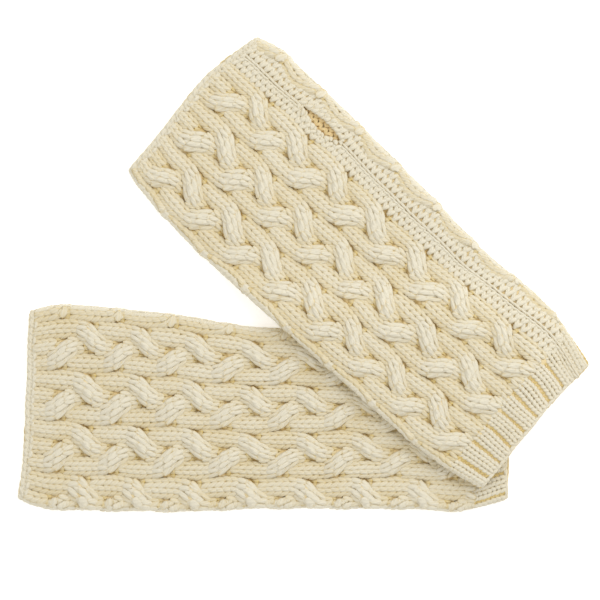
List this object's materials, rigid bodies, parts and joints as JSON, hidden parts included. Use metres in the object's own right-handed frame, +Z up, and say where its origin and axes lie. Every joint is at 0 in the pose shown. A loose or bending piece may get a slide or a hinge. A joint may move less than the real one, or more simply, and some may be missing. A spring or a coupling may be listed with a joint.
{
  "type": "pair of fingerless mittens",
  "caption": "Pair of plait-cabled wool fingerless mittens, flat tubes with thumb slits and ribbed cuffs, laid flat one across the other; they warm the hands and wrists.",
  "frame": {"origin": "middle of the pair's bounding box, on the surface that it lies on", "axes": "+X along the lower mitten from its finger edge to its cuff, +Y away from it towards the upper mitten's finger end, +Z up from the surface"},
  "size_m": [0.3418, 0.2856, 0.0189],
  "materials": {
    "plait_wool": "undyed cream wool, plump slightly fuzzy plied yarn, knitted in plait cables",
    "purl_wool": "the same wool in reverse stocking stitch",
    "seam_wool": "the same wool, joined selvedges and rolled slit edges",
    "rib_wool": "the same wool in knit 2, purl 1 rib and in the cast-off edge"
  },
  "bodies": {
    "root": {"lower_back_panel": "plait_wool", "lower_front_panel": "plait_wool", "lower_outer_band": "purl_wool", "lower_inner_band": "purl_wool", "lower_seam_to_fingers": "seam_wool", "lower_seam_to_cuff": "seam_wool", "lower_outer_lip": "seam_wool", "lower_inner_lip": "seam_wool", "lower_rib_cuff": "rib_wool", "lower_finger_border": "rib_wool", "upper_back_panel": "plait_wool", "upper_front_panel": "plait_wool", "upper_outer_band": "purl_wool", "upper_inner_band": "purl_wool", "upper_seam_to_fingers": "seam_wool", "upper_seam_to_cuff": "seam_wool", "upper_outer_lip": "seam_wool", "upper_inner_lip": "seam_wool", "upper_rib_cuff": "rib_wool", "upper_finger_border": "rib_wool"}
  },
  "joints": []
}
